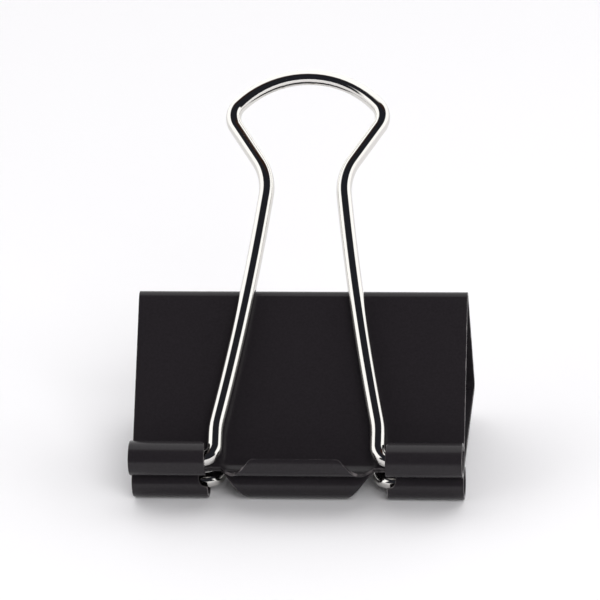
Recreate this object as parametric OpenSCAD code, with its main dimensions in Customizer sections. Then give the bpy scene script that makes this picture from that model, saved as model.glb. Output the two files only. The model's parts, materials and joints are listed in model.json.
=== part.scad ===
// Spring binder clip with two wire handles, lying on its rear side.
//
// The clip is drawn in its own frame: X along the jaws, Y from the jaw tubes to the
// spine, Z out of the front face. lay_down() then turns it on to the surface that it
// rests on, with its tubes toward -Y, and centres it over the origin.
// Every size is in millimetres and every angle in degrees.

/* [Steel body] */
// Width of the body along its jaws
clip_width = 51; // [44:0.5:70]
// Depth from the tube axis to the centre of each fold
body_depth = 25; // [18:0.5:34]
// Outer width of the flat spine
spine_width = 23.5; // [16:0.5:32]
// Thickness of the sheet steel
sheet = 0.5; // [0.35:0.05:0.8]
// Outer radius of the two folds
fold_radius = 1.3; // [1:0.05:2.5]
// How far each jaw opens from closed, as an angle at its fold
jaw_opening = 28; // [20:1:35]

/* [Rolled tubes and notches] */
// Outer diameter of the rolled tubes
tube_diameter = 5.34; // [4.6:0.02:7]
// Angle through which a side tab is rolled, counted from the jaw line
side_roll = 290; // [250:1:300]
// Angle through which the centre tab is rolled, counted from the jaw line
centre_roll = 143; // [90:1:160]
// Half width of the centre tab at the height of the tube axis
centre_tab_half = 8.4; // [6:0.1:10]
// Angle between a side of the centre tab and the tube's cross-section
centre_tab_slant = 45; // [30:1:50]
// Radius of the relief at the foot of each notch
relief_radius = 1.75; // [1.2:0.05:2.2]
// Angle at which the free corner of a side tab is cut back
nose_slant = 40; // [25:1:55]

/* [Wire handles] */
// Diameter of the handle wire
wire_diameter = 2.4; // [1.6:0.1:3]
// Length of a handle from its pivot axis to the middle of its arch
handle_length = 61.6; // [50:0.1:80]
// Half width of the handle's loop, to the middle of the wire
loop_half = 11.66; // [9:0.02:14]
// Radius of the arch across the end of the loop
arch_radius = 15; // [14:0.5:30]
// Radius of the two corners of the loop
corner_radius = 2.9; // [1.8:0.05:4]
// Slant of the loop's sides below its corners
loop_slant = 34; // [25:1:40]
// Half width of the neck, to the middle of the wire
neck_half = 6.02; // [4:0.01:8]
// Radius of the bend at the neck
neck_radius = 8.25; // [4:0.25:12]
// Half width of the legs where they meet the tubes
root_half = 12.45; // [11.5:0.05:14]
// Radius of the leg's outward bow between the neck and its root
leg_bow_radius = 430; // [300:10:1500]
// Radius of the bend that straightens a leg above the tubes
root_radius = 10; // [2:1:40]
// Radius of the bend that turns a leg into its tube
pin_bend_radius = 2; // [1.6:0.1:2.4]
// Length that stays free between the end of a wire and the end of its tube
pin_setback = 2.8; // [1:0.1:5]
// Angle by which the rear handle stands off the body, so that the clip lies level
rear_handle_lift = 2; // [0:0.5:6]

/* [Clearances] */
// Gap between the two closed jaws
jaw_gap = 0.1; // [0.06:0.02:0.3]
// Gap between the two laps of a fold
lap_gap = 0.04; // [0.03:0.01:0.08]
// Gap between a handle and the fold that it leans on
lean_gap = 0.08; // [0.05:0.01:0.3]
// Gap between a leg and the end of its tube when the handle swings
swing_gap = 0.1; // [0.08:0.01:0.5]

/* [Hidden] */
$fn = 48;

steel_colour = "#2b2b2e";
wire_colour = "#c9ccd2";

// A cut runs this far past the steel that it goes through.
overcut = 1;
// Largest angle between two rays of a ring sector's outline.
ray_step = 60;
// A bend of the wire has at least this many steps.
bend_steps = 8;

// Rolled tubes: the two closed jaws meet on the plane Z = 0.
tube_r = tube_diameter / 2;
tube_bore_r = tube_r - sheet;
tube_z = tube_r + jaw_gap / 2;

// Folds and laps: the outer lap belongs to the spine, the inner lap to the jaw.
fold_bore_r = fold_radius - sheet;
fold_z = spine_width / 2 - fold_radius;
lap_thick = (sheet - lap_gap) / 2;
lap_margin = 4;
spine_y = body_depth + fold_radius;

// Slope of a face: its inner surface carries on as the outside of the tube and the
// inside of the fold.
fold_bearing = atan2(fold_z - tube_z, body_depth);
fold_distance = norm([body_depth, fold_z - tube_z]);
face_angle = fold_bearing + asin((tube_r + fold_bore_r) / fold_distance);

// A hair: a step that keeps two surfaces from running into each other at no angle.
hair = 0.01;
// The rolls of the tabs start this far inside the heel, so that they join at any size.
roll_overlap = 1;

// Wire handles, in a plane with X across and Y along the handle.
wire_r = wire_diameter / 2;
// A collar, two hairs wider than the wire, joins each length of wire to the next. The
// lengths stop just short of each other inside it.
collar_r = wire_r + 2 * hair;
collar_length = 0.3;
collar_gap = 0.05;
lean_angle = fold_bearing + asin((fold_radius + wire_r + lean_gap) / fold_distance);
rear_angle = lean_angle + rear_handle_lift;
tube_start = root_half + wire_r + swing_gap;
relief_inset = 0.35;
relief_x = tube_start - relief_inset;
relief_top = tube_z - tube_r / 2;
pin_end = clip_width / 2 - pin_setback;
root_height = 2 * pin_bend_radius;

// Handle outline: centres of its arcs, and the angles where one runs into the next.
arch_centre = [0, handle_length - arch_radius];
arch_half_angle = asin((loop_half - corner_radius) / (arch_radius - corner_radius));
corner_centre = arch_centre
    + (arch_radius - corner_radius) * [sin(arch_half_angle), cos(arch_half_angle)];
neck_x = neck_half + neck_radius;
neck_drop = (neck_radius + corner_radius - (neck_x - corner_centre.x) * cos(loop_slant))
    / sin(loop_slant);
neck_centre = [neck_x, corner_centre.y - neck_drop];
root_centre = [root_half - root_radius, root_height];
bend_centre = [root_half + pin_bend_radius, pin_bend_radius];

// The bowed leg touches the neck bend from outside and the root bend from inside.
span = root_centre - neck_centre;
leg_to_neck = leg_bow_radius - neck_radius;
leg_to_root = leg_bow_radius + root_radius;
leg_swing = acos((leg_to_neck ^ 2 + norm(span) ^ 2 - leg_to_root ^ 2)
    / (2 * leg_to_neck * norm(span)));
leg_bearing = bearing(span) + leg_swing;
leg_centre = neck_centre + leg_to_neck * [cos(leg_bearing), sin(leg_bearing)];
leg_top_angle = bearing(neck_centre - leg_centre);
leg_root_angle = bearing(root_centre - leg_centre);

// Lying on the rear tubes and the end of the rear handle.
handle_droop = asin((tube_r - wire_r) / handle_length);
lie_angle = rear_angle - handle_droop;
lie_height = tube_r + tube_z * cos(lie_angle);
lie_front = -tube_z * sin(lie_angle) - tube_r;
lie_back = tube_z * sin(lie_angle) + handle_length * cos(handle_droop) + wire_r;

function bearing(v) = (atan2(v.y, v.x) + 360) % 360;

// Turns the clip on to its rear side, over the origin.
module lay_down() {
    translate([0, -(lie_front + lie_back) / 2, lie_height])
        rotate([lie_angle, 0, 0])
            children();
}

// Extrudes a cross-section, drawn with X as the clip's Y and Y as its Z, along X.
module along_x(x0, x1) {
    translate([x0, 0, 0])
        rotate([90, 0, 90])
            linear_extrude(x1 - x0)
                children();
}

// Part of a ring, from angle a0 to angle a1 about its centre.
module ring_sector(r_in, r_out, a0, a1) {
    reach = 2 * r_out;
    steps = ceil((a1 - a0) / ray_step);
    intersection() {
        difference() {
            circle(r = r_out);
            circle(r = r_in);
        }
        polygon(concat([[0, 0]], [for (i = [0:steps])
            let (a = a0 + (a1 - a0) * i / steps) reach * [cos(a), sin(a)]]));
    }
}

// Rolled sheet about the tube axis, from one roll angle to another. The roll starts
// on the jaw line and goes round by way of the clip's front.
module roll_section(roll_0, roll_1) {
    translate([0, tube_z])
        ring_sector(tube_bore_r, tube_r, 270 - roll_1, 270 - roll_0);
}

// Flat face of a jaw, with the lap inside its fold and the heel down to the jaw line.
module face_section() {
    normal = [-sin(face_angle), cos(face_angle)];
    tube = [0, tube_z];
    fold = [body_depth, fold_z];
    along = [cos(face_angle), sin(face_angle)];
    // The face is a hair thinner than the rolls at its two ends and runs two hairs into
    // them, so that they join at any size.
    polygon([tube - (tube_r - hair) * normal - 2 * hair * along,
        fold + (fold_bore_r + hair) * normal + 2 * hair * along,
        fold + (fold_radius - hair) * normal + 2 * hair * along,
        tube - (tube_bore_r + hair) * normal - 2 * hair * along]);
    roll_section(-face_angle, 0);
    translate(fold)
        ring_sector(fold_bore_r, fold_bore_r + lap_thick,
            jaw_opening + lap_margin, 90 + face_angle);
}

// Side tab, rolled into a tube that holds one end of the handle's wire.
module side_tube() {
    nose_rise = 2 * tube_r;
    difference() {
        along_x(tube_start, clip_width / 2)
            roll_section(-roll_overlap, side_roll);
        translate([0, 0, tube_z])
            linear_extrude(nose_rise)
                polygon([[tube_start - overcut, 0], [tube_start, 0],
                    [tube_start + nose_rise * tan(nose_slant), nose_rise],
                    [tube_start - overcut, nose_rise]]);
    }
}

// Centre tab, rolled part of the way and narrowing to its free edge.
module centre_tab() {
    reach = 2 * tube_r;
    half = function(z) centre_tab_half - z * tan(centre_tab_slant);
    intersection() {
        along_x(-tube_start, tube_start)
            roll_section(-roll_overlap, centre_roll);
        translate([0, tube_r, tube_z])
            rotate([90, 0, 0])
                linear_extrude(2 * tube_r)
                    polygon([[-half(-reach), -reach], [half(-reach), -reach],
                        [half(tube_r), tube_r], [-half(tube_r), tube_r]]);
    }
}

// One jaw in the clip's front position.
module jaw() {
    difference() {
        union() {
            along_x(-clip_width / 2, clip_width / 2)
                face_section();
            centre_tab();
            side_tube();
            mirror([1, 0, 0]) side_tube();
        }
        for (side = [-1, 1])
            translate([side * relief_x, -relief_radius, -overcut])
                cylinder(r = relief_radius, h = overcut + relief_top);
    }
}

// Flat spine with an outer lap round each fold.
module spine_plate() {
    along_x(-clip_width / 2, clip_width / 2) {
        translate([spine_y - sheet, -fold_z])
            square([sheet, 2 * fold_z]);
        for (side = [0, 1])
            mirror([0, side])
                translate([body_depth, fold_z])
                    ring_sector(fold_radius - lap_thick, fold_radius,
                        0, 90 + face_angle - jaw_opening - lap_margin);
    }
}

// Point on a circle about a centre.
function around(centre, radius, a) = centre + radius * [cos(a), sin(a)];

// Bent length of wire from angle a0 to angle a1 about a centre.
module wire_arc(centre, radius, a0, a1) {
    trim = asin(collar_gap / radius);
    sweep = a1 - a0 - 2 * trim;
    translate([centre.x, centre.y, 0])
        rotate([0, 0, a0 + trim])
            rotate_extrude(angle = sweep, $fn = bend_steps * ceil(360 / sweep))
                translate([radius, 0])
                    circle(r = wire_r);
}

// Length of round bar from a point along a bearing, drawn from start to start + length.
module bar(point, heading, r, start, length) {
    translate([point.x, point.y, 0])
        rotate([0, 0, heading])
            rotate([0, 90, 0])
                translate([0, 0, start])
                    cylinder(r = r, h = length);
}

// Straight length of wire between two points.
module wire_line(from, to) {
    run = to - from;
    bar(from, atan2(run.y, run.x), wire_r, collar_gap, norm(run) - 2 * collar_gap);
}

// Collar between two lengths of wire that meet at a point.
module collar(point, heading) {
    bar(point, heading, collar_r, -collar_length / 2, collar_length);
}

// Right half of a handle, from the loop's corner to the end of the wire.
module handle_side() {
    arch_end = around(arch_centre, arch_radius, 90 - arch_half_angle);
    corner_end = around(corner_centre, corner_radius, -loop_slant);
    neck_top = around(neck_centre, neck_radius, 180 - loop_slant);
    neck_end = around(neck_centre, neck_radius, leg_top_angle);
    root_top = around(root_centre, root_radius, leg_root_angle - 180);
    root_end = [root_half, root_height];
    bend_top = [root_half, pin_bend_radius];
    bend_end = [bend_centre.x, 0];
    wire_arc(corner_centre, corner_radius, -loop_slant, 90 - arch_half_angle);
    wire_line(corner_end, neck_top);
    wire_arc(neck_centre, neck_radius, 180 - loop_slant, leg_top_angle);
    wire_arc(leg_centre, leg_bow_radius, leg_top_angle, leg_root_angle);
    wire_arc(root_centre, root_radius, 0, leg_root_angle - 180);
    wire_line(root_end, bend_top);
    wire_arc(bend_centre, pin_bend_radius, 180, 270);
    wire_line(bend_end, [pin_end, 0]);
    collar(arch_end, -arch_half_angle);
    collar(corner_end, 90 - loop_slant);
    collar(neck_top, 90 - loop_slant);
    collar(neck_end, leg_top_angle - 90);
    collar(root_top, leg_root_angle - 90);
    collar(root_end, 90);
    collar(bend_top, 90);
    collar(bend_end, 0);
}

// Whole handle on the front tubes, leaning out from the clip's mid-plane by an angle.
module handle(angle) {
    translate([0, 0, tube_z])
        rotate([angle, 0, 0]) {
            wire_arc(arch_centre, arch_radius, 90 - arch_half_angle,
                90 + arch_half_angle);
            handle_side();
            mirror([1, 0, 0]) handle_side();
        }
}

module spine() {
    color(steel_colour) lay_down() spine_plate();
}

module front_jaw() {
    color(steel_colour) lay_down() jaw();
}

module rear_jaw() {
    color(steel_colour) lay_down() mirror([0, 0, 1]) jaw();
}

module front_handle() {
    color(wire_colour) lay_down() handle(lean_angle);
}

module rear_handle() {
    color(wire_colour) lay_down() mirror([0, 0, 1]) handle(rear_angle);
}

spine();
front_jaw();
rear_jaw();
front_handle();
rear_handle();
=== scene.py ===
# %% [markdown]
# # A spring binder clip with two wire handles
#
# The clip is three things on the bench: one strip of black-painted spring steel, folded to a
# triangular prism with its jaw edges rolled into tubes, and two bent lengths of nickel-plated
# wire whose ends turn in those tubes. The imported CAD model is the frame. It holds the real
# places of the folds and tubes, because they are the axes of the joints, so everything below is
# worked out from those axes and a few sheet-metal sizes.

# %% Load the frame
import bmesh
import bpy
import cmath
import json
import math
from mathutils import Matrix, Vector


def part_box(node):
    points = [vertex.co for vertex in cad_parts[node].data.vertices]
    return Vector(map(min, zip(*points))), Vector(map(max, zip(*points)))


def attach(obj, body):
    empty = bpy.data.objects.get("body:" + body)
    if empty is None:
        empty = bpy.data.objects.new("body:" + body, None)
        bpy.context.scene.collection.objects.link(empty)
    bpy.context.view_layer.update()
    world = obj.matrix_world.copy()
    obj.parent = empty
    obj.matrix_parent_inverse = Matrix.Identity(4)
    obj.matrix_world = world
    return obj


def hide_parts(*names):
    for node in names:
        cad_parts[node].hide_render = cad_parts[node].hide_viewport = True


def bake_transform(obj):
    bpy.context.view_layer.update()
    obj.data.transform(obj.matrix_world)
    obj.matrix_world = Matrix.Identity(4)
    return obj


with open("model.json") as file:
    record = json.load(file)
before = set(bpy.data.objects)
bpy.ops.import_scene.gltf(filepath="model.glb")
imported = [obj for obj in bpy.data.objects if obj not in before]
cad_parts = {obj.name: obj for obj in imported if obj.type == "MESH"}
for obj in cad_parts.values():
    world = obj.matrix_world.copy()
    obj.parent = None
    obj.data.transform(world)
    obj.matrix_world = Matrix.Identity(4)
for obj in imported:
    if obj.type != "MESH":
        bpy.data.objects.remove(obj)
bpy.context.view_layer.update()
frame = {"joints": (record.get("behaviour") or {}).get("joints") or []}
MM = 0.001

# %% [markdown]
# ## The camera
#
# A long lens, a little to the right of the clip and above it, looks down on the front face and
# the jaws. A long lens from far away keeps the two ends of the tubes almost the same size,
# as on a catalogue picture. The camera's three axes are worked out from where it stands and the
# point that it looks at, and then it is turned a little about its own axis, so that the folds
# lie level in the frame.

# %% Camera
CAMERA_SPOT = Vector((65.3, -558.4, 306.3)) * MM
CAMERA_AIM = Vector((-1.8, -0.6, 19.2)) * MM
CAMERA_ROLL = math.radians(-2.9)
CAMERA_LENS = 240.1
NEAREST_SEEN = 10 * MM


def look(spot, aim, roll):
    """The matrix of a camera or lamp at a spot that looks at an aim."""
    turn = (aim - spot).to_track_quat("-Z", "Y").to_matrix().to_4x4()
    return Matrix.Translation(spot) @ turn @ Matrix.Rotation(roll, 4, "Z")


camera_data = bpy.data.cameras.new("camera")
camera_data.lens = CAMERA_LENS
camera_data.clip_start = NEAREST_SEEN
camera = bpy.data.objects.new("camera", camera_data)
bpy.context.scene.collection.objects.link(camera)
camera.matrix_world = look(CAMERA_SPOT, CAMERA_AIM, CAMERA_ROLL)
bpy.context.scene.camera = camera
print("camera", round((CAMERA_SPOT - CAMERA_AIM).length, 3), "m away")

# %% [markdown]
# ## Small helpers
#
# A colour is written as the sRGB hex value that a colour picker gives, and Blender's shaders
# want linear light, so one function turns one into the other. A second one adds a node to a
# tree with its settings, its values and its links, which keeps each material short enough to
# read as a recipe. The others start a material, end it, put a mesh in the scene and
# space out numbers evenly.

# %% Helpers
def colour(code):
    """Linear RGBA from an sRGB hex code."""
    parts = [int(code[i:i + 2], 16) / 255 for i in (1, 3, 5)]
    linear = [c / 12.92 if c <= 0.04045 else ((c + 0.055) / 1.055) ** 2.4 for c in parts]
    return (*linear, 1.0)


def add(tree, kind, values=None, links=None, **settings):
    """A new node with its settings, its input values, and the sockets that feed its inputs."""
    node = tree.nodes.new(kind)
    for name, value in settings.items():
        setattr(node, name, value)
    for name, value in (values or {}).items():
        node.inputs[name].default_value = value
    for name, socket in (links or {}).items():
        tree.links.new(socket, node.inputs[name])
    return node


def new_material(name):
    """An empty node material and its tree."""
    material = bpy.data.materials.new(name)
    material.use_nodes = True
    material.node_tree.nodes.clear()
    return material, material.node_tree


def finish_material(tree, shader):
    """Puts a shader on the material's output."""
    add(tree, "ShaderNodeOutputMaterial", links={"Surface": shader.outputs[0]})


def new_object(name, mesh):
    """An object at the origin that holds a mesh."""
    obj = bpy.data.objects.new(name, mesh)
    bpy.context.scene.collection.objects.link(obj)
    return obj


def spread(start, end, count):
    """Evenly spaced values from start to end."""
    return [start + (end - start) * i / count for i in range(count + 1)]


print("helpers ready")

# %% [markdown]
# ## Black painted spring steel
#
# The strip is hardened steel under a thin coat of black gloss paint. Paint is a dielectric, so
# it mirrors only a few hundredths of the light face on, and more at a glancing angle: that
# is why the flat faces stay near black while the tops of the tubes and the folds
# carry soft grey bands. Sprayed paint is never quite flat. It has a faint orange peel, about
# 0.6 mm from crest to crest, and a much finer grain that softens what it mirrors. A little
# dust and handling dulls it in broad patches. Round the stamped edges the coat pulls thin and
# rubs through to grey steel here and there. The body's mesh says where its edges are, in an
# attribute named rim that is 1 on the edge and 0 on the sheet, and the wear follows that.

# %% Paint
PAINT_DARK = colour("#201d20")
PAINT_LIGHT = colour("#282528")
RUBBED_STEEL = colour("#686364")
PAINT_IOR = 1.5
PAINT_SPECULAR = 0.24
GLOSSY, DULL = 0.19, 0.26
PEEL_SPACING = 0.6 * MM
PEEL_HEIGHT = 0.02 * MM
PEEL_STRENGTH = 0.12
PATCH_SPACING = 14 * MM
FLECK_SPACING = 0.35 * MM
WEAR_SPACING = 1.8 * MM
WEAR_FROM, WEAR_TO = 0.48, 0.66
LEAST_WEAR = 0.1
NOISE_LOW, NOISE_HIGH = 0.3, 0.7


def black_paint():
    """Black gloss paint on steel sheet, sprayed."""
    material, tree = new_material("black_gloss_paint_on_spring_steel")
    place = add(tree, "ShaderNodeTexCoord").outputs["Object"]
    peel = add(tree, "ShaderNodeTexNoise", {"Scale": 1 / PEEL_SPACING, "Detail": 2.0},
        {"Vector": place})
    patches = add(tree, "ShaderNodeTexNoise", {"Scale": 1 / PATCH_SPACING, "Detail": 4.0},
        {"Vector": place})
    flecks = add(tree, "ShaderNodeTexNoise", {"Scale": 1 / FLECK_SPACING, "Detail": 1.0},
        {"Vector": place})
    scuffs = add(tree, "ShaderNodeTexNoise", {"Scale": 1 / WEAR_SPACING, "Detail": 3.0},
        {"Vector": place})
    rubbed = add(tree, "ShaderNodeMapRange",
        {"From Min": WEAR_FROM, "From Max": WEAR_TO, "To Min": LEAST_WEAR},
        {"Value": scuffs.outputs["Fac"]})
    rim = add(tree, "ShaderNodeAttribute", attribute_name="rim")
    worn = add(tree, "ShaderNodeMath",
        links={0: rim.outputs["Fac"], 1: rubbed.outputs["Result"]}, operation="MULTIPLY")
    gloss = add(tree, "ShaderNodeMapRange",
        {"From Min": NOISE_LOW, "From Max": NOISE_HIGH, "To Min": GLOSSY, "To Max": DULL},
        {"Value": patches.outputs["Fac"]})
    tone = add(tree, "ShaderNodeMix", {"A": PAINT_DARK, "B": PAINT_LIGHT},
        {"Factor": flecks.outputs["Fac"]}, data_type="RGBA")
    coat = add(tree, "ShaderNodeMix", {"B": RUBBED_STEEL},
        {"Factor": worn.outputs["Value"], "A": tone.outputs["Result"]}, data_type="RGBA")
    bump = add(tree, "ShaderNodeBump", {"Strength": PEEL_STRENGTH, "Distance": PEEL_HEIGHT},
        {"Height": peel.outputs["Fac"]})
    shader = add(tree, "ShaderNodeBsdfPrincipled",
        {"IOR": PAINT_IOR, "Specular IOR Level": PAINT_SPECULAR},
        {"Base Color": coat.outputs["Result"], "Roughness": gloss.outputs["Result"],
        "Normal": bump.outputs["Normal"]})
    finish_material(tree, shader)
    return material


PAINT = black_paint()
print(PAINT.name)

# %% [markdown]
# ## Bright nickel wire
#
# The handles are drawn steel wire with bright nickel plating. Nickel is a metal: its colour is
# the colour of its mirror, a warm light grey, and it is nearly smooth. Drawing through a die
# leaves very fine lines along the wire, which stretch the highlights a little. They follow the
# wire, so the wire's own mesh gives its place round the wire in an attribute named round. Real
# die lines are a few hundredths of a millimetre apart. These are 0.25 mm apart, so that
# they show.

# %% Nickel
WIRE_RADIUS = 1.2 * MM
NICKEL_COLOUR = colour("#d9d7d3")
BRIGHTEST, HAZIEST = 0.05, 0.11
HAZE_SPACING = 5 * MM
LINE_SPACING = 0.25 * MM
LINE_HEIGHT = 0.004 * MM
LINE_STRENGTH = 0.25


def nickel():
    """Bright nickel plating on drawn wire."""
    material, tree = new_material("bright_nickel_plated_wire")
    place = add(tree, "ShaderNodeTexCoord").outputs["Object"]
    haze = add(tree, "ShaderNodeTexNoise", {"Scale": 1 / HAZE_SPACING, "Detail": 3.0},
        {"Vector": place})
    about = add(tree, "ShaderNodeAttribute", attribute_name="round")
    lines = add(tree, "ShaderNodeTexNoise",
        {"Scale": math.tau * WIRE_RADIUS / LINE_SPACING, "Detail": 1.0},
        {"W": about.outputs["Fac"]}, noise_dimensions="1D")
    drawn = add(tree, "ShaderNodeBump", {"Strength": LINE_STRENGTH, "Distance": LINE_HEIGHT},
        {"Height": lines.outputs["Fac"]})
    polish = add(tree, "ShaderNodeMapRange",
        {"From Min": NOISE_LOW, "From Max": NOISE_HIGH, "To Min": BRIGHTEST, "To Max": HAZIEST},
        {"Value": haze.outputs["Fac"]})
    shader = add(tree, "ShaderNodeBsdfPrincipled",
        {"Base Color": NICKEL_COLOUR, "Metallic": 1.0},
        {"Roughness": polish.outputs["Result"], "Normal": drawn.outputs["Normal"]})
    finish_material(tree, shader)
    return material


NICKEL = nickel()
print(NICKEL.name)

# %% [markdown]
# ## The cross-section of the sheet
#
# A press makes the body from one flat blank: it folds the blank twice and rolls its edges. The
# model is made the same way. Along the strip, from the middle of the spine to the free edge
# of a tab, the sheet's mid-surface is a straight run, an arc about the fold, a
# straight face, and an arc about the tube. Each point of the section is written as one complex
# number, Y as its real part and Z as its imaginary part, because turning a direction is
# then a single multiplication.

# %% Section of the sheet
SHEET = 0.5 * MM
FOLD_OUTER_RADIUS = 1.3 * MM
TUBE_DIAMETER = 5.34 * MM
FOLD_RADIUS = FOLD_OUTER_RADIUS - SHEET / 2
TUBE_RADIUS = (TUBE_DIAMETER - SHEET) / 2
JOINT_AT = {j["name"]: Vector(j["pos_m"]) for j in frame["joints"]}


def in_section(point):
    """A point of the row frame as a complex number in the cross-section."""
    return complex(point.y, point.z)


def section_point(place):
    """A point of the cross-section in the row frame."""
    return (0.0, place.real, place.imag)


def turned(direction, angle):
    """A direction turned by an angle."""
    return direction * cmath.exp(1j * angle)


class Section:
    """Mid-surface of one half of the body, from the middle of the spine to a jaw's edge."""

    def __init__(self, side, other):
        self.fold = in_section(JOINT_AT[side + "_jaw_open"])
        self.tube = in_section(JOINT_AT[side + "_handle_swing"])
        other_fold = in_section(JOINT_AT[other + "_jaw_open"])
        other_tube = in_section(JOINT_AT[other + "_handle_swing"])
        self.middle = (self.fold + other_fold) / 2
        self.half_spine = abs(self.fold - other_fold) / 2
        along = (self.fold - self.middle) / self.half_spine
        away = self.middle - (self.tube + other_tube) / 2
        self.out = away / abs(away)
        self.hand = 1 if (self.out / along).imag > 0 else -1
        reach = self.tube - self.fold
        offset = FOLD_RADIUS + TUBE_RADIUS
        self.face = math.sqrt(abs(reach) ** 2 - offset ** 2)
        heading = reach / complex(self.face, self.hand * offset)
        self.fold_turn = (-self.hand * cmath.phase(heading / along)) % math.tau
        self.face_out = turned(heading, self.hand * math.pi / 2)
        jaw_line = (other_tube - self.tube) / abs(other_tube - self.tube)
        self.heel_turn = (self.hand * cmath.phase(-jaw_line / self.face_out)) % math.tau
        self.at_fold = self.half_spine
        self.at_face = self.at_fold + FOLD_RADIUS * self.fold_turn
        self.at_tube = self.at_face + self.face
        self.at_jaw_line = self.at_tube + TUBE_RADIUS * self.heel_turn

    def at(self, run):
        """The point of the mid-surface after a run along the sheet, and its outward normal."""
        if run < self.at_fold:
            start = self.middle + FOLD_RADIUS * self.out
            along = turned(self.out, -self.hand * math.pi / 2)
            return start + run * along, self.out
        if run < self.at_face:
            normal = turned(self.out, -self.hand * (run - self.at_fold) / FOLD_RADIUS)
            return self.fold + FOLD_RADIUS * normal, normal
        if run < self.at_tube:
            along = turned(self.face_out, -self.hand * math.pi / 2)
            start = self.fold + FOLD_RADIUS * self.face_out
            return start + (run - self.at_face) * along, self.face_out
        normal = turned(self.face_out, self.hand * (run - self.at_tube) / TUBE_RADIUS)
        return self.tube - TUBE_RADIUS * normal, normal


SECTIONS = {"front": Section("front", "rear"), "rear": Section("rear", "front")}
for name, section in SECTIONS.items():
    print(name, "half: fold", round(math.degrees(section.fold_turn), 1), "degrees, face",
        round(section.face / MM, 2), "mm")

# %% [markdown]
# ## The outline of the tabs
#
# Each jaw edge has two side tabs, rolled almost shut into tubes, and a short centre tab rolled
# only part of the way. Between them a notch lets the handle's wire out. The outline is
# three small functions of the roll, the run of sheet past the jaw line. The centre tab narrows
# steadily from its foot to two small round corners. A side tab starts at a round relief, runs
# straight, and is cut back at its free corner, the nose, so that a leg of the handle can stand
# beside it. Its outer edge is straight up to one round corner at the end.

# %% Outline of the tabs
HALF_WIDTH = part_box("spine")[1].x
SIDE_TURN = math.radians(290)
CENTRE_TURN = math.radians(143)
SIDE_ROLL = SIDE_TURN * TUBE_RADIUS
CENTRE_ROLL = CENTRE_TURN * TUBE_RADIUS
TAB_START = 13.75 * MM
RELIEF = 1.35 * MM
NOSE_FROM = 9.2 * MM
NOSE_ROUND = 0.8 * MM
NOSE_SLOPE = 1.0
CENTRE_FOOT = 11.8 * MM
CENTRE_SLOPE = 0.83
CENTRE_ROUND = 0.35 * MM
END_ROUND = 0.6 * MM


def round_corner(left, radius):
    """How far an edge is drawn in at a distance left before a rounded corner's end."""
    if left >= radius:
        return 0.0
    return radius - math.sqrt(radius ** 2 - (radius - max(left, 0.0)) ** 2)


def side_tab_inner(roll):
    """Half width at which a side tab starts."""
    past = roll - NOSE_FROM
    nose = NOSE_SLOPE / 2 * (past + math.hypot(past, NOSE_ROUND))
    inner = TAB_START + nose
    lift = RELIEF ** 2 - (roll - RELIEF) ** 2
    return max(inner, TAB_START + math.sqrt(lift)) if lift > 0 else inner


def side_tab_outer(roll):
    """Half width at which a side tab ends."""
    return HALF_WIDTH - round_corner(SIDE_ROLL - roll, END_ROUND)


def centre_tab_half(roll):
    """Half width of the centre tab."""
    return CENTRE_FOOT - CENTRE_SLOPE * roll - round_corner(CENTRE_ROLL - roll, CENTRE_ROUND)


for roll in spread(0, SIDE_ROLL, 4):
    print("roll", round(roll / MM, 2), "mm: side tab from",
        round(side_tab_inner(roll) / MM, 2), "mm")

# %% [markdown]
# ## Rolling the blank
#
# The flat blank is a grid of rows, one for each run along the strip, and columns across it. A
# cell is left out where a notch is. Each corner of the grid is then put on the rolled section
# twice, half a sheet outwards and half a sheet inwards, and along every free edge a small
# rounded rim joins the two, because a stamped and painted edge is never sharp and it is the
# rims that catch the light. A Solidify and a Bevel modifier could do this too, but bevels
# on long thin cells near a notch tear, and here the rim follows the blank exactly.

# %% Grid of the blank
RIM = 0.12 * MM
RIM_STEPS = 4
SIDE_COLUMNS = 14
NOTCH_COLUMNS = 6
CENTRE_COLUMNS = 16
SPINE_ROWS = 5
FOLD_ROWS = 20
FACE_ROWS = 8
HEEL_ROWS = 5
RELIEF_ROWS = 16
CENTRE_ROWS = 14
CORNER_ROWS = 6
SIDE_ROWS = 26


def eased(start, end, count):
    """Values from start to end that crowd together at both ends."""
    return [start + (end - start) * (1 - math.cos(math.pi * i / count)) / 2
        for i in range(count + 1)]


def rows_of(section):
    """The runs at which the blank has a row, from the middle of the spine to the free edge."""
    rows, rolls = [0], [0]
    for end, count in ((section.at_fold, SPINE_ROWS), (section.at_face, FOLD_ROWS),
            (section.at_tube, FACE_ROWS), (section.at_jaw_line, HEEL_ROWS)):
        rows += spread(rows[-1], end, count)[1:]
    for end, count, spacing in ((2 * RELIEF, RELIEF_ROWS, spread),
            (CENTRE_ROLL - CENTRE_ROUND, CENTRE_ROWS, spread),
            (CENTRE_ROLL, CORNER_ROWS, eased),
            (SIDE_ROLL - END_ROUND, SIDE_ROWS, spread), (SIDE_ROLL, CORNER_ROWS, eased)):
        rolls += spacing(rolls[-1], end, count)[1:]
    return rows + [section.at_jaw_line + roll for roll in rolls[1:]]


def columns_at(roll):
    """Places across the strip of every column, at a roll past the jaw line."""
    roll = max(roll, 0.0)
    inner = side_tab_inner(roll)
    half = centre_tab_half(min(roll, CENTRE_ROLL))
    right = eased(inner, side_tab_outer(roll), SIDE_COLUMNS)
    notch = spread(half, inner, NOTCH_COLUMNS)[1:]
    centre = spread(-half, half, CENTRE_COLUMNS)
    left = [-x for x in reversed(right)]
    return left + [-x for x in reversed(notch[:-1])] + centre + notch[:-1] + right


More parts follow.
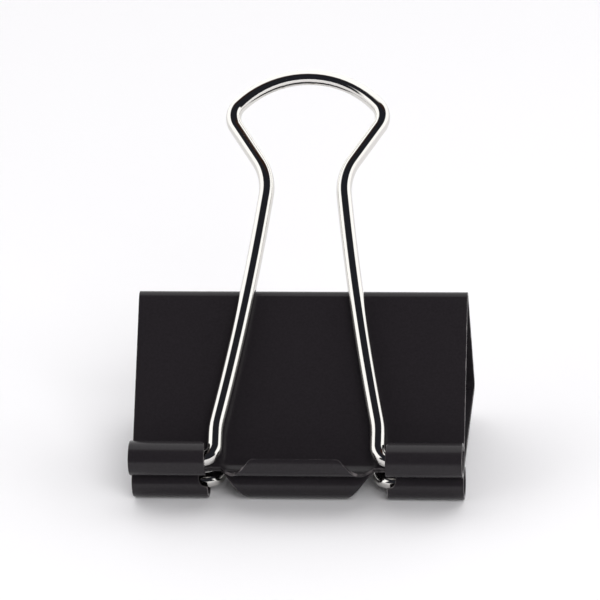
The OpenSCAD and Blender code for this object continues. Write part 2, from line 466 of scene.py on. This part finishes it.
def is_sheet(column, roll):
    """Whether the cell to the right of a column, at a roll past the jaw line, is sheet."""
    from_middle = abs(column + 0.5 - SIDE_COLUMNS - NOTCH_COLUMNS - CENTRE_COLUMNS / 2)
    if roll < 0 or from_middle > CENTRE_COLUMNS / 2 + NOTCH_COLUMNS:
        return True
    return from_middle < CENTRE_COLUMNS / 2 and roll < CENTRE_ROLL


def blank(section):
    """The flat blank of one half: the corners of its grid, and its cells of sheet."""
    rows = rows_of(section)
    width = len(columns_at(0))
    flat, cells = [], []
    for run in rows:
        flat += [(x, run) for x in columns_at(run - section.at_jaw_line)]
    for i in range(len(rows) - 1):
        for j in range(width - 1):
            if is_sheet(j, (rows[i] + rows[i + 1]) / 2 - section.at_jaw_line):
                first = i * width + j
                cells.append((first, first + 1, first + 1 + width, first + width))
    return flat, cells


for side, section in SECTIONS.items():
    print(side, "half:", len(blank(section)[1]), "cells of sheet")

# %% [markdown]
# The rim needs to know which way is out of the sheet at each free edge. A cell's edges run round
# it in order, so an edge that only one cell owns is free, and its outward direction in the
# flat blank is that edge turned by a right angle. A corner takes the mean of its two
# edges. The cut down the middle of the spine isn't a real edge, so it gets a flat end, and
# the other half meets it there.

# %% Free edges
NOWHERE = Vector((0, 0))
SHARPEST_CORNER = 0.6
TINY = 1e-6


def free_edges(cells):
    """The edges that only one cell owns, in that cell's direction."""
    owned = {(a, b) for cell in cells for a, b in zip(cell, cell[1:] + cell[:1])}
    return [edge for edge in owned if (edge[1], edge[0]) not in owned]


def rim_directions(flat, edges):
    """For each point on a free edge, the way out of the sheet in the flat blank."""
    ways = {}
    for a, b in edges:
        if flat[a][1] == 0 and flat[b][1] == 0:
            way = NOWHERE
        else:
            run = Vector(flat[b]) - Vector(flat[a])
            way = Vector((run.y, -run.x)).normalized()
        ways.setdefault(a, []).append(way)
        ways.setdefault(b, []).append(way)
    joined = {}
    for point, pair in ways.items():
        total = sum(pair, NOWHERE)
        lone = len(pair) < 2 or total.length < TINY
        joined[point] = total * (1.0 if lone else 1 / max(total.dot(pair[0]), SHARPEST_CORNER))
        if flat[point][1] == 0:
            joined[point].y = 0
    return joined


print("corners are drawn out by up to", round(1 / SHARPEST_CORNER, 2))

# %% [markdown]
# The shell itself is three sets of faces: the outer skin, the inner skin, and the rims between
# them, each of which is a quarter round, a short flat and another quarter round. A bmesh then
# turns every face outwards. The shading is smooth round the rims and breaks only where two faces
# meet at a sharper angle than a step of a rim, such as at the cut in the spine.

# %% Rolled shell
SHEET_CORNER = math.radians(40)


def closed_mesh(name, points, faces, on_rim):
    """A mesh that is closed, with its faces outwards and its rim marked."""
    mesh = bpy.data.meshes.new(name)
    mesh.from_pydata(points, [], faces)
    mesh.attributes.new("rim", "FLOAT", "POINT").data.foreach_set("value", on_rim)
    mesh.validate()
    work = bmesh.new()
    work.from_mesh(mesh)
    bmesh.ops.recalc_face_normals(work, faces=work.faces)
    work.to_mesh(mesh)
    work.free()
    mesh.shade_smooth()
    mesh.set_sharp_from_angle(angle=SHEET_CORNER)
    mesh.materials.append(PAINT)
    return mesh


def rolled_shell(name, section):
    """One half of the body as a closed shell with rounded rims."""
    flat, cells = blank(section)
    edges = free_edges(cells)
    ways = rim_directions(flat, edges)
    quarter = spread(0, math.pi / 2, RIM_STEPS)[1:]
    points, on_rim = [], []

    def put(flat_point, offset, rim=0.0):
        place, normal = section.at(flat_point[1])
        place += offset * normal
        points.append((flat_point[0], place.real, place.imag))
        on_rim.append(rim)
        return len(points) - 1

    outer, inner, rims = {}, {}, {}
    for p in sorted({p for cell in cells for p in cell}):
        way = ways.get(p, NOWHERE)
        seat = Vector(flat[p]) - RIM * way
        outer[p] = put(seat, SHEET / 2)
        inner[p] = put(seat, -SHEET / 2)
        if p in ways:
            rims[p] = [outer[p]]
            for half, angles in ((1, quarter), (-1, reversed(quarter))):
                for angle in angles:
                    drawn = Vector(flat[p]) - RIM * (1 - math.sin(angle)) * way
                    height = SHEET / 2 - RIM * (1 - math.cos(angle))
                    rims[p].append(put(drawn, half * height, 1.0))
            rims[p].append(inner[p])
    faces = [tuple(outer[p] for p in cell) for cell in cells]
    faces += [tuple(inner[p] for p in reversed(cell)) for cell in cells]
    for a, b in edges:
        for k in range(len(rims[a]) - 1):
            faces.append((rims[b][k], rims[a][k], rims[a][k + 1], rims[b][k + 1]))
    return new_object(name, closed_mesh(name, points, faces, on_rim))


BODY_HALVES = {side: rolled_shell(side + "_half_of_body", section)
    for side, section in SECTIONS.items()}
for side, half in BODY_HALVES.items():
    print(half.name, len(half.data.polygons), "faces")

# %% [markdown]
# ## The handles
#
# A handle is one length of wire, bent seven times: two long legs, a neck, a flared loop with an
# arch across its end, and at the root two short pins that turn in the tubes. Its middle line is
# a chain of arcs that run smoothly into each other, as a wire bender lays them. Each arc's
# centre follows from the ones beside it, because arcs that touch have their centres in line
# with the point where they meet.

# %% Middle line of a handle
HANDLE_LENGTH = 61.6 * MM
LOOP_HALF = 11.66 * MM
ARCH_RADIUS = 15 * MM
CORNER_RADIUS = 2.9 * MM
LOOP_SLANT = math.radians(34)
NECK_HALF = 6.02 * MM
NECK_RADIUS = 8.25 * MM
ROOT_HALF = 12.45 * MM
LEG_BOW_RADIUS = 430 * MM
ROOT_RADIUS = 10 * MM
PIN_BEND_RADIUS = 2 * MM
PIN_SETBACK = 2.8 * MM
ARC_STEP = math.radians(5)
LEG_STEP = 1.5 * MM
LEAST_STEPS = 3
PIN_STEPS = 6


def arc(centre, radius, start, end):
    """Points along an arc, without its last one."""
    run = abs(end - start)
    count = max(LEAST_STEPS, math.ceil(run / ARC_STEP), math.ceil(run * radius / LEG_STEP))
    return [centre + radius * cmath.exp(1j * a) for a in spread(start, end, count)[:-1]]


def handle_half():
    """Middle line of the right half, from the top of the arch to the end of the pin."""
    arch = complex(0, HANDLE_LENGTH - ARCH_RADIUS)
    arch_half = math.asin((LOOP_HALF - CORNER_RADIUS) / (ARCH_RADIUS - CORNER_RADIUS))
    corner = arch + (ARCH_RADIUS - CORNER_RADIUS) * 1j * cmath.exp(-1j * arch_half)
    neck_x = NECK_HALF + NECK_RADIUS
    drop = NECK_RADIUS + CORNER_RADIUS - (neck_x - corner.real) * math.cos(LOOP_SLANT)
    neck = complex(neck_x, corner.imag - drop / math.sin(LOOP_SLANT))
    root = complex(ROOT_HALF - ROOT_RADIUS, 2 * PIN_BEND_RADIUS)
    span = root - neck
    near = LEG_BOW_RADIUS - NECK_RADIUS
    far = LEG_BOW_RADIUS + ROOT_RADIUS
    swing = math.acos((near ** 2 + abs(span) ** 2 - far ** 2) / (2 * near * abs(span)))
    leg = neck + near * cmath.exp(1j * (cmath.phase(span) + swing))
    leg_top = cmath.phase(neck - leg) % math.tau
    leg_root = cmath.phase(root - leg) % math.tau
    bend = complex(ROOT_HALF + PIN_BEND_RADIUS, PIN_BEND_RADIUS)
    pin_end = HALF_WIDTH - PIN_SETBACK
    line = arc(arch, ARCH_RADIUS, math.pi / 2, math.pi / 2 - arch_half)
    line += arc(corner, CORNER_RADIUS, math.pi / 2 - arch_half, -LOOP_SLANT)
    line += arc(neck, NECK_RADIUS, math.pi - LOOP_SLANT, leg_top)
    line += arc(leg, LEG_BOW_RADIUS, leg_top, leg_root)
    line += arc(root, ROOT_RADIUS, leg_root - math.pi, 0)
    line += [complex(ROOT_HALF, 2 * PIN_BEND_RADIUS)]
    line += arc(bend, PIN_BEND_RADIUS, math.pi, 1.5 * math.pi)
    line += [complex(x, 0) for x in spread(bend.real, pin_end, PIN_STEPS)]
    return line


HALF_LINE = handle_half()
print(len(HALF_LINE), "points on half a handle")

# %% [markdown]
# The line is drawn flat, so it is turned on to the plane where the handle stands. That plane
# holds the tube's axis and the direction of the loop, and the frame's own box of the handle
# says where the loop's far end is.

# %% Handle planes
def handle_plane(side, up):
    """The tube's axis and the direction along a handle, from the frame's own handle."""
    low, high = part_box(side + "_handle")
    axis = JOINT_AT[side + "_handle_swing"]
    end_y = high.y - WIRE_RADIUS
    end_z = high.z - WIRE_RADIUS if up else low.z + WIRE_RADIUS
    return axis, Vector((0, end_y - axis.y, end_z - axis.z)).normalized()


def wire_line(name, side, up):
    """A handle's middle line as a chain of edges in the row frame."""
    axis, along = handle_plane(side, up)
    line = [complex(-p.real, p.imag) for p in reversed(HALF_LINE)] + HALF_LINE[1:]
    points = [Vector((p.real, axis.y, axis.z)) + p.imag * along for p in line]
    mesh = bpy.data.meshes.new(name)
    mesh.from_pydata(points, [(i, i + 1) for i in range(len(points) - 1)], [])
    return new_object(name, mesh)


HANDLES = {"front": wire_line("front_wire_handle", "front", True),
    "rear": wire_line("rear_wire_handle", "rear", False)}
for side, handle in HANDLES.items():
    print(handle.name, len(handle.data.vertices), "points")

# %% [markdown]
# Geometry Nodes draws the wire along that line: Curve to Mesh sweeps a circle along it and
# closes the ends, and the radius, the sides and the metal stay named inputs. A bevelled curve
# would give the same tube, but only the nodes can mark each point of the circle with its
# place round the wire, which the drawing lines in the nickel follow. The result is kept as
# a plain mesh and the modifier is taken off.

# %% Wire by Geometry Nodes
WIRE_SIDES = 32
WIRE_END_CORNER = math.radians(50)


def wire_tree():
    """Geometry Nodes that sweep a round wire along a line."""
    tree = bpy.data.node_groups.new("draw_wire", "GeometryNodeTree")
    face = tree.interface
    face.new_socket("Geometry", in_out="OUTPUT", socket_type="NodeSocketGeometry")
    face.new_socket("Middle Line", in_out="INPUT", socket_type="NodeSocketGeometry")
    face.new_socket("Wire Radius", in_out="INPUT", socket_type="NodeSocketFloat")
    face.new_socket("Sides", in_out="INPUT", socket_type="NodeSocketInt")
    face.new_socket("Metal", in_out="INPUT", socket_type="NodeSocketMaterial")
    given = add(tree, "NodeGroupInput")
    path = add(tree, "GeometryNodeMeshToCurve", links={"Mesh": given.outputs["Middle Line"]})
    ring = add(tree, "GeometryNodeCurvePrimitiveCircle", links={
        "Resolution": given.outputs["Sides"], "Radius": given.outputs["Wire Radius"]})
    about = add(tree, "GeometryNodeSplineParameter")
    marked = add(tree, "GeometryNodeStoreNamedAttribute", {"Name": "round"},
        {"Geometry": ring.outputs["Curve"], "Value": about.outputs["Factor"]})
    swept = add(tree, "GeometryNodeCurveToMesh", {"Fill Caps": True},
        {"Curve": path.outputs["Curve"], "Profile Curve": marked.outputs["Geometry"]})
    real = add(tree, "GeometryNodeRealizeInstances", links={"Geometry": swept.outputs["Mesh"]})
    metal = add(tree, "GeometryNodeSetMaterial", links={
        "Geometry": real.outputs["Geometry"], "Material": given.outputs["Metal"]})
    add(tree, "NodeGroupOutput", links={"Geometry": metal.outputs["Geometry"]})
    return tree


def run_nodes(obj, tree, inputs):
    """Runs a node tree on an object with named inputs, and keeps the plain mesh that it makes."""
    modifier = obj.modifiers.new(tree.name, "NODES")
    modifier.node_group = tree
    for item in tree.interface.items_tree:
        if item.in_out == "INPUT" and item.name in inputs:
            modifier[item.identifier] = inputs[item.name]
    ready = obj.evaluated_get(bpy.context.evaluated_depsgraph_get())
    mesh = bpy.data.meshes.new_from_object(ready)
    obj.modifiers.remove(modifier)
    obj.data = mesh
    return obj


DRAW_WIRE = wire_tree()
for side, handle in HANDLES.items():
    run_nodes(handle, DRAW_WIRE,
        {"Wire Radius": WIRE_RADIUS, "Sides": WIRE_SIDES, "Metal": NICKEL})
    handle.data.shade_smooth()
    handle.data.set_sharp_from_angle(angle=WIRE_END_CORNER)
    print(handle.name, len(handle.data.polygons), "faces")

# %% [markdown]
# ## Joining the pieces to the frame
#
# The handles ride on their own bodies. The steel body really bends at its folds when the jaws
# open. In the frame it is three rigid bodies that turn about the folds. Here the two halves of
# the shell are baked in place and the frame's jaws and spine are hidden; the halves are not
# joined to those bodies.

# %% Bodies
for side, half in BODY_HALVES.items():
    section = SECTIONS[side]
    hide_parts(side + "_jaw")
    section_point(section.at(section.at_fold)[0])
    section_point(section.at(section.at_face)[0])
    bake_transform(half)
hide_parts("spine")
for side, handle in HANDLES.items():
    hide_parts(side + "_handle")
    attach(handle, side + "_handle")

# %% [markdown]
# ## Floor
#
# A sheet of pale matt card, large enough that its far edge melts into the white behind it. It
# isn't part of the clip.

# %% Floor
FLOOR_SIZE = 4.0
CARD_COLOUR = colour("#f4f3f5")
CARD_ROUGHNESS = 0.9
floor_mesh = bpy.data.meshes.new("floor")
corner = FLOOR_SIZE / 2
floor_mesh.from_pydata([(-corner, -corner, 0), (corner, -corner, 0), (corner, corner, 0),
    (-corner, corner, 0)], [], [(0, 1, 2, 3)])
floor = new_object("floor", floor_mesh)
floor_material, floor_tree = new_material("pale_matt_card")
finish_material(floor_tree, add(floor_tree, "ShaderNodeBsdfPrincipled",
    {"Base Color": CARD_COLOUR, "Roughness": CARD_ROUGHNESS}))
floor_mesh.materials.append(floor_material)
print("floor", FLOOR_SIZE, "m square")

# %% [markdown]
# ## Light
#
# The clip lies in a white tent: the light comes from everywhere except the opening where the
# camera looks in. White cards stand left, right and above that opening, with the pale floor
# below it, and the gaps at the corners between them are dark too. On bright wire the opening is
# the dark stripe along the middle, and the cards are the white on both sides of it. A
# slanted stretch of wire mirrors a corner, so its stripe is wider. The flat painted faces mirror
# the opening and stay black, while the tubes and folds mirror the tent. The wall is drawn in
# the world's own shader: the reach of the opening, as an angle from its middle, is a sum of
# waves round it, so that it is short towards the four cards and long towards the corners. The
# dark room behind it is warm brown high up, which tints the upper side of the wire's arch. One
# soft lamp beside the camera lifts the black paint a little, and is hidden from mirrors. The
# Standard view shows the white card as white, where a film-like view would grey it.

# %% Light
TENT_BRIGHTNESS = 1.47
OPENING_ABOVE = colour("#341d0a")
OPENING_BELOW = colour("#1e1f24")
OPENING_REACH = math.radians(55)
CARD_DIFFERENCE = math.radians(-9)
CORNER_DEPTH = math.radians(-17)
OPENING_SOFTNESS = math.radians(4)
WARM_FROM, WARM_TO = 0.55, 0.8
OPENING_TOWARDS = Vector((0.1, -0.83, 0.54)).normalized()

world = bpy.data.worlds.new("white_tent")
bpy.context.scene.world = world
world.use_nodes = True
sky = world.node_tree
sky.nodes.clear()
ray = add(sky, "ShaderNodeTexCoord").outputs["Generated"]
across = Vector((1, 0, 0))
across = (across - across.project(OPENING_TOWARDS)).normalized()
above = OPENING_TOWARDS.cross(across)
right, high, ahead = (add(sky, "ShaderNodeVectorMath", {1: way}, {0: ray},
    operation="DOT_PRODUCT").outputs["Value"] for way in (across, above, OPENING_TOWARDS))
turn = add(sky, "ShaderNodeMath", links={0: high, 1: right}, operation="ARCTAN2")
reach = add(sky, "ShaderNodeValue").outputs["Value"]
reach.default_value = OPENING_REACH
for waves, depth in ((2, CARD_DIFFERENCE), (4, CORNER_DEPTH)):
    phase = add(sky, "ShaderNodeMath", {1: waves}, {0: turn.outputs["Value"]},
        operation="MULTIPLY")
    wave = add(sky, "ShaderNodeMath", links={0: phase.outputs["Value"]}, operation="COSINE")
    reach = add(sky, "ShaderNodeMath", {1: depth}, {0: wave.outputs["Value"], 2: reach},
        operation="MULTIPLY_ADD").outputs["Value"]
away = add(sky, "ShaderNodeMath", links={0: ahead}, operation="ARCCOSINE")
past = add(sky, "ShaderNodeMath", links={0: away.outputs["Value"], 1: reach},
    operation="SUBTRACT")
wall = add(sky, "ShaderNodeMapRange", {
    "From Min": -OPENING_SOFTNESS, "From Max": OPENING_SOFTNESS},
    {"Value": past.outputs["Value"]})
height = add(sky, "ShaderNodeMapRange", {"From Min": WARM_FROM, "From Max": WARM_TO},
    {"Value": high})
room = add(sky, "ShaderNodeMix", {"A": OPENING_BELOW, "B": OPENING_ABOVE},
    {"Factor": height.outputs["Result"]}, data_type="RGBA")
seen = add(sky, "ShaderNodeMix", {"B": colour("#ffffff")},
    {"Factor": wall.outputs["Result"], "A": room.outputs["Result"]}, data_type="RGBA")
glow = add(sky, "ShaderNodeBackground", {"Strength": TENT_BRIGHTNESS},
    {"Color": seen.outputs["Result"]})
add(sky, "ShaderNodeOutputWorld", links={"Surface": glow.outputs["Background"]})
print("tent with", len(sky.nodes), "nodes")

# %% Fill lamp
FILL_SPOT = Vector((0.35, -0.7, 0.6))
FILL_SIZE = 0.5
FILL_POWER = 4.4

fill_data = bpy.data.lights.new("front_fill", "AREA")
fill_data.size = FILL_SIZE
fill_data.energy = FILL_POWER
fill = bpy.data.objects.new("front_fill", fill_data)
bpy.context.scene.collection.objects.link(fill)
fill.matrix_world = look(FILL_SPOT, CAMERA_AIM, 0)
fill.visible_glossy = False
bpy.context.scene.view_settings.view_transform = "Standard"
print("fill lamp", FILL_POWER, "W,", round((FILL_SPOT - CAMERA_AIM).length, 2), "m away")
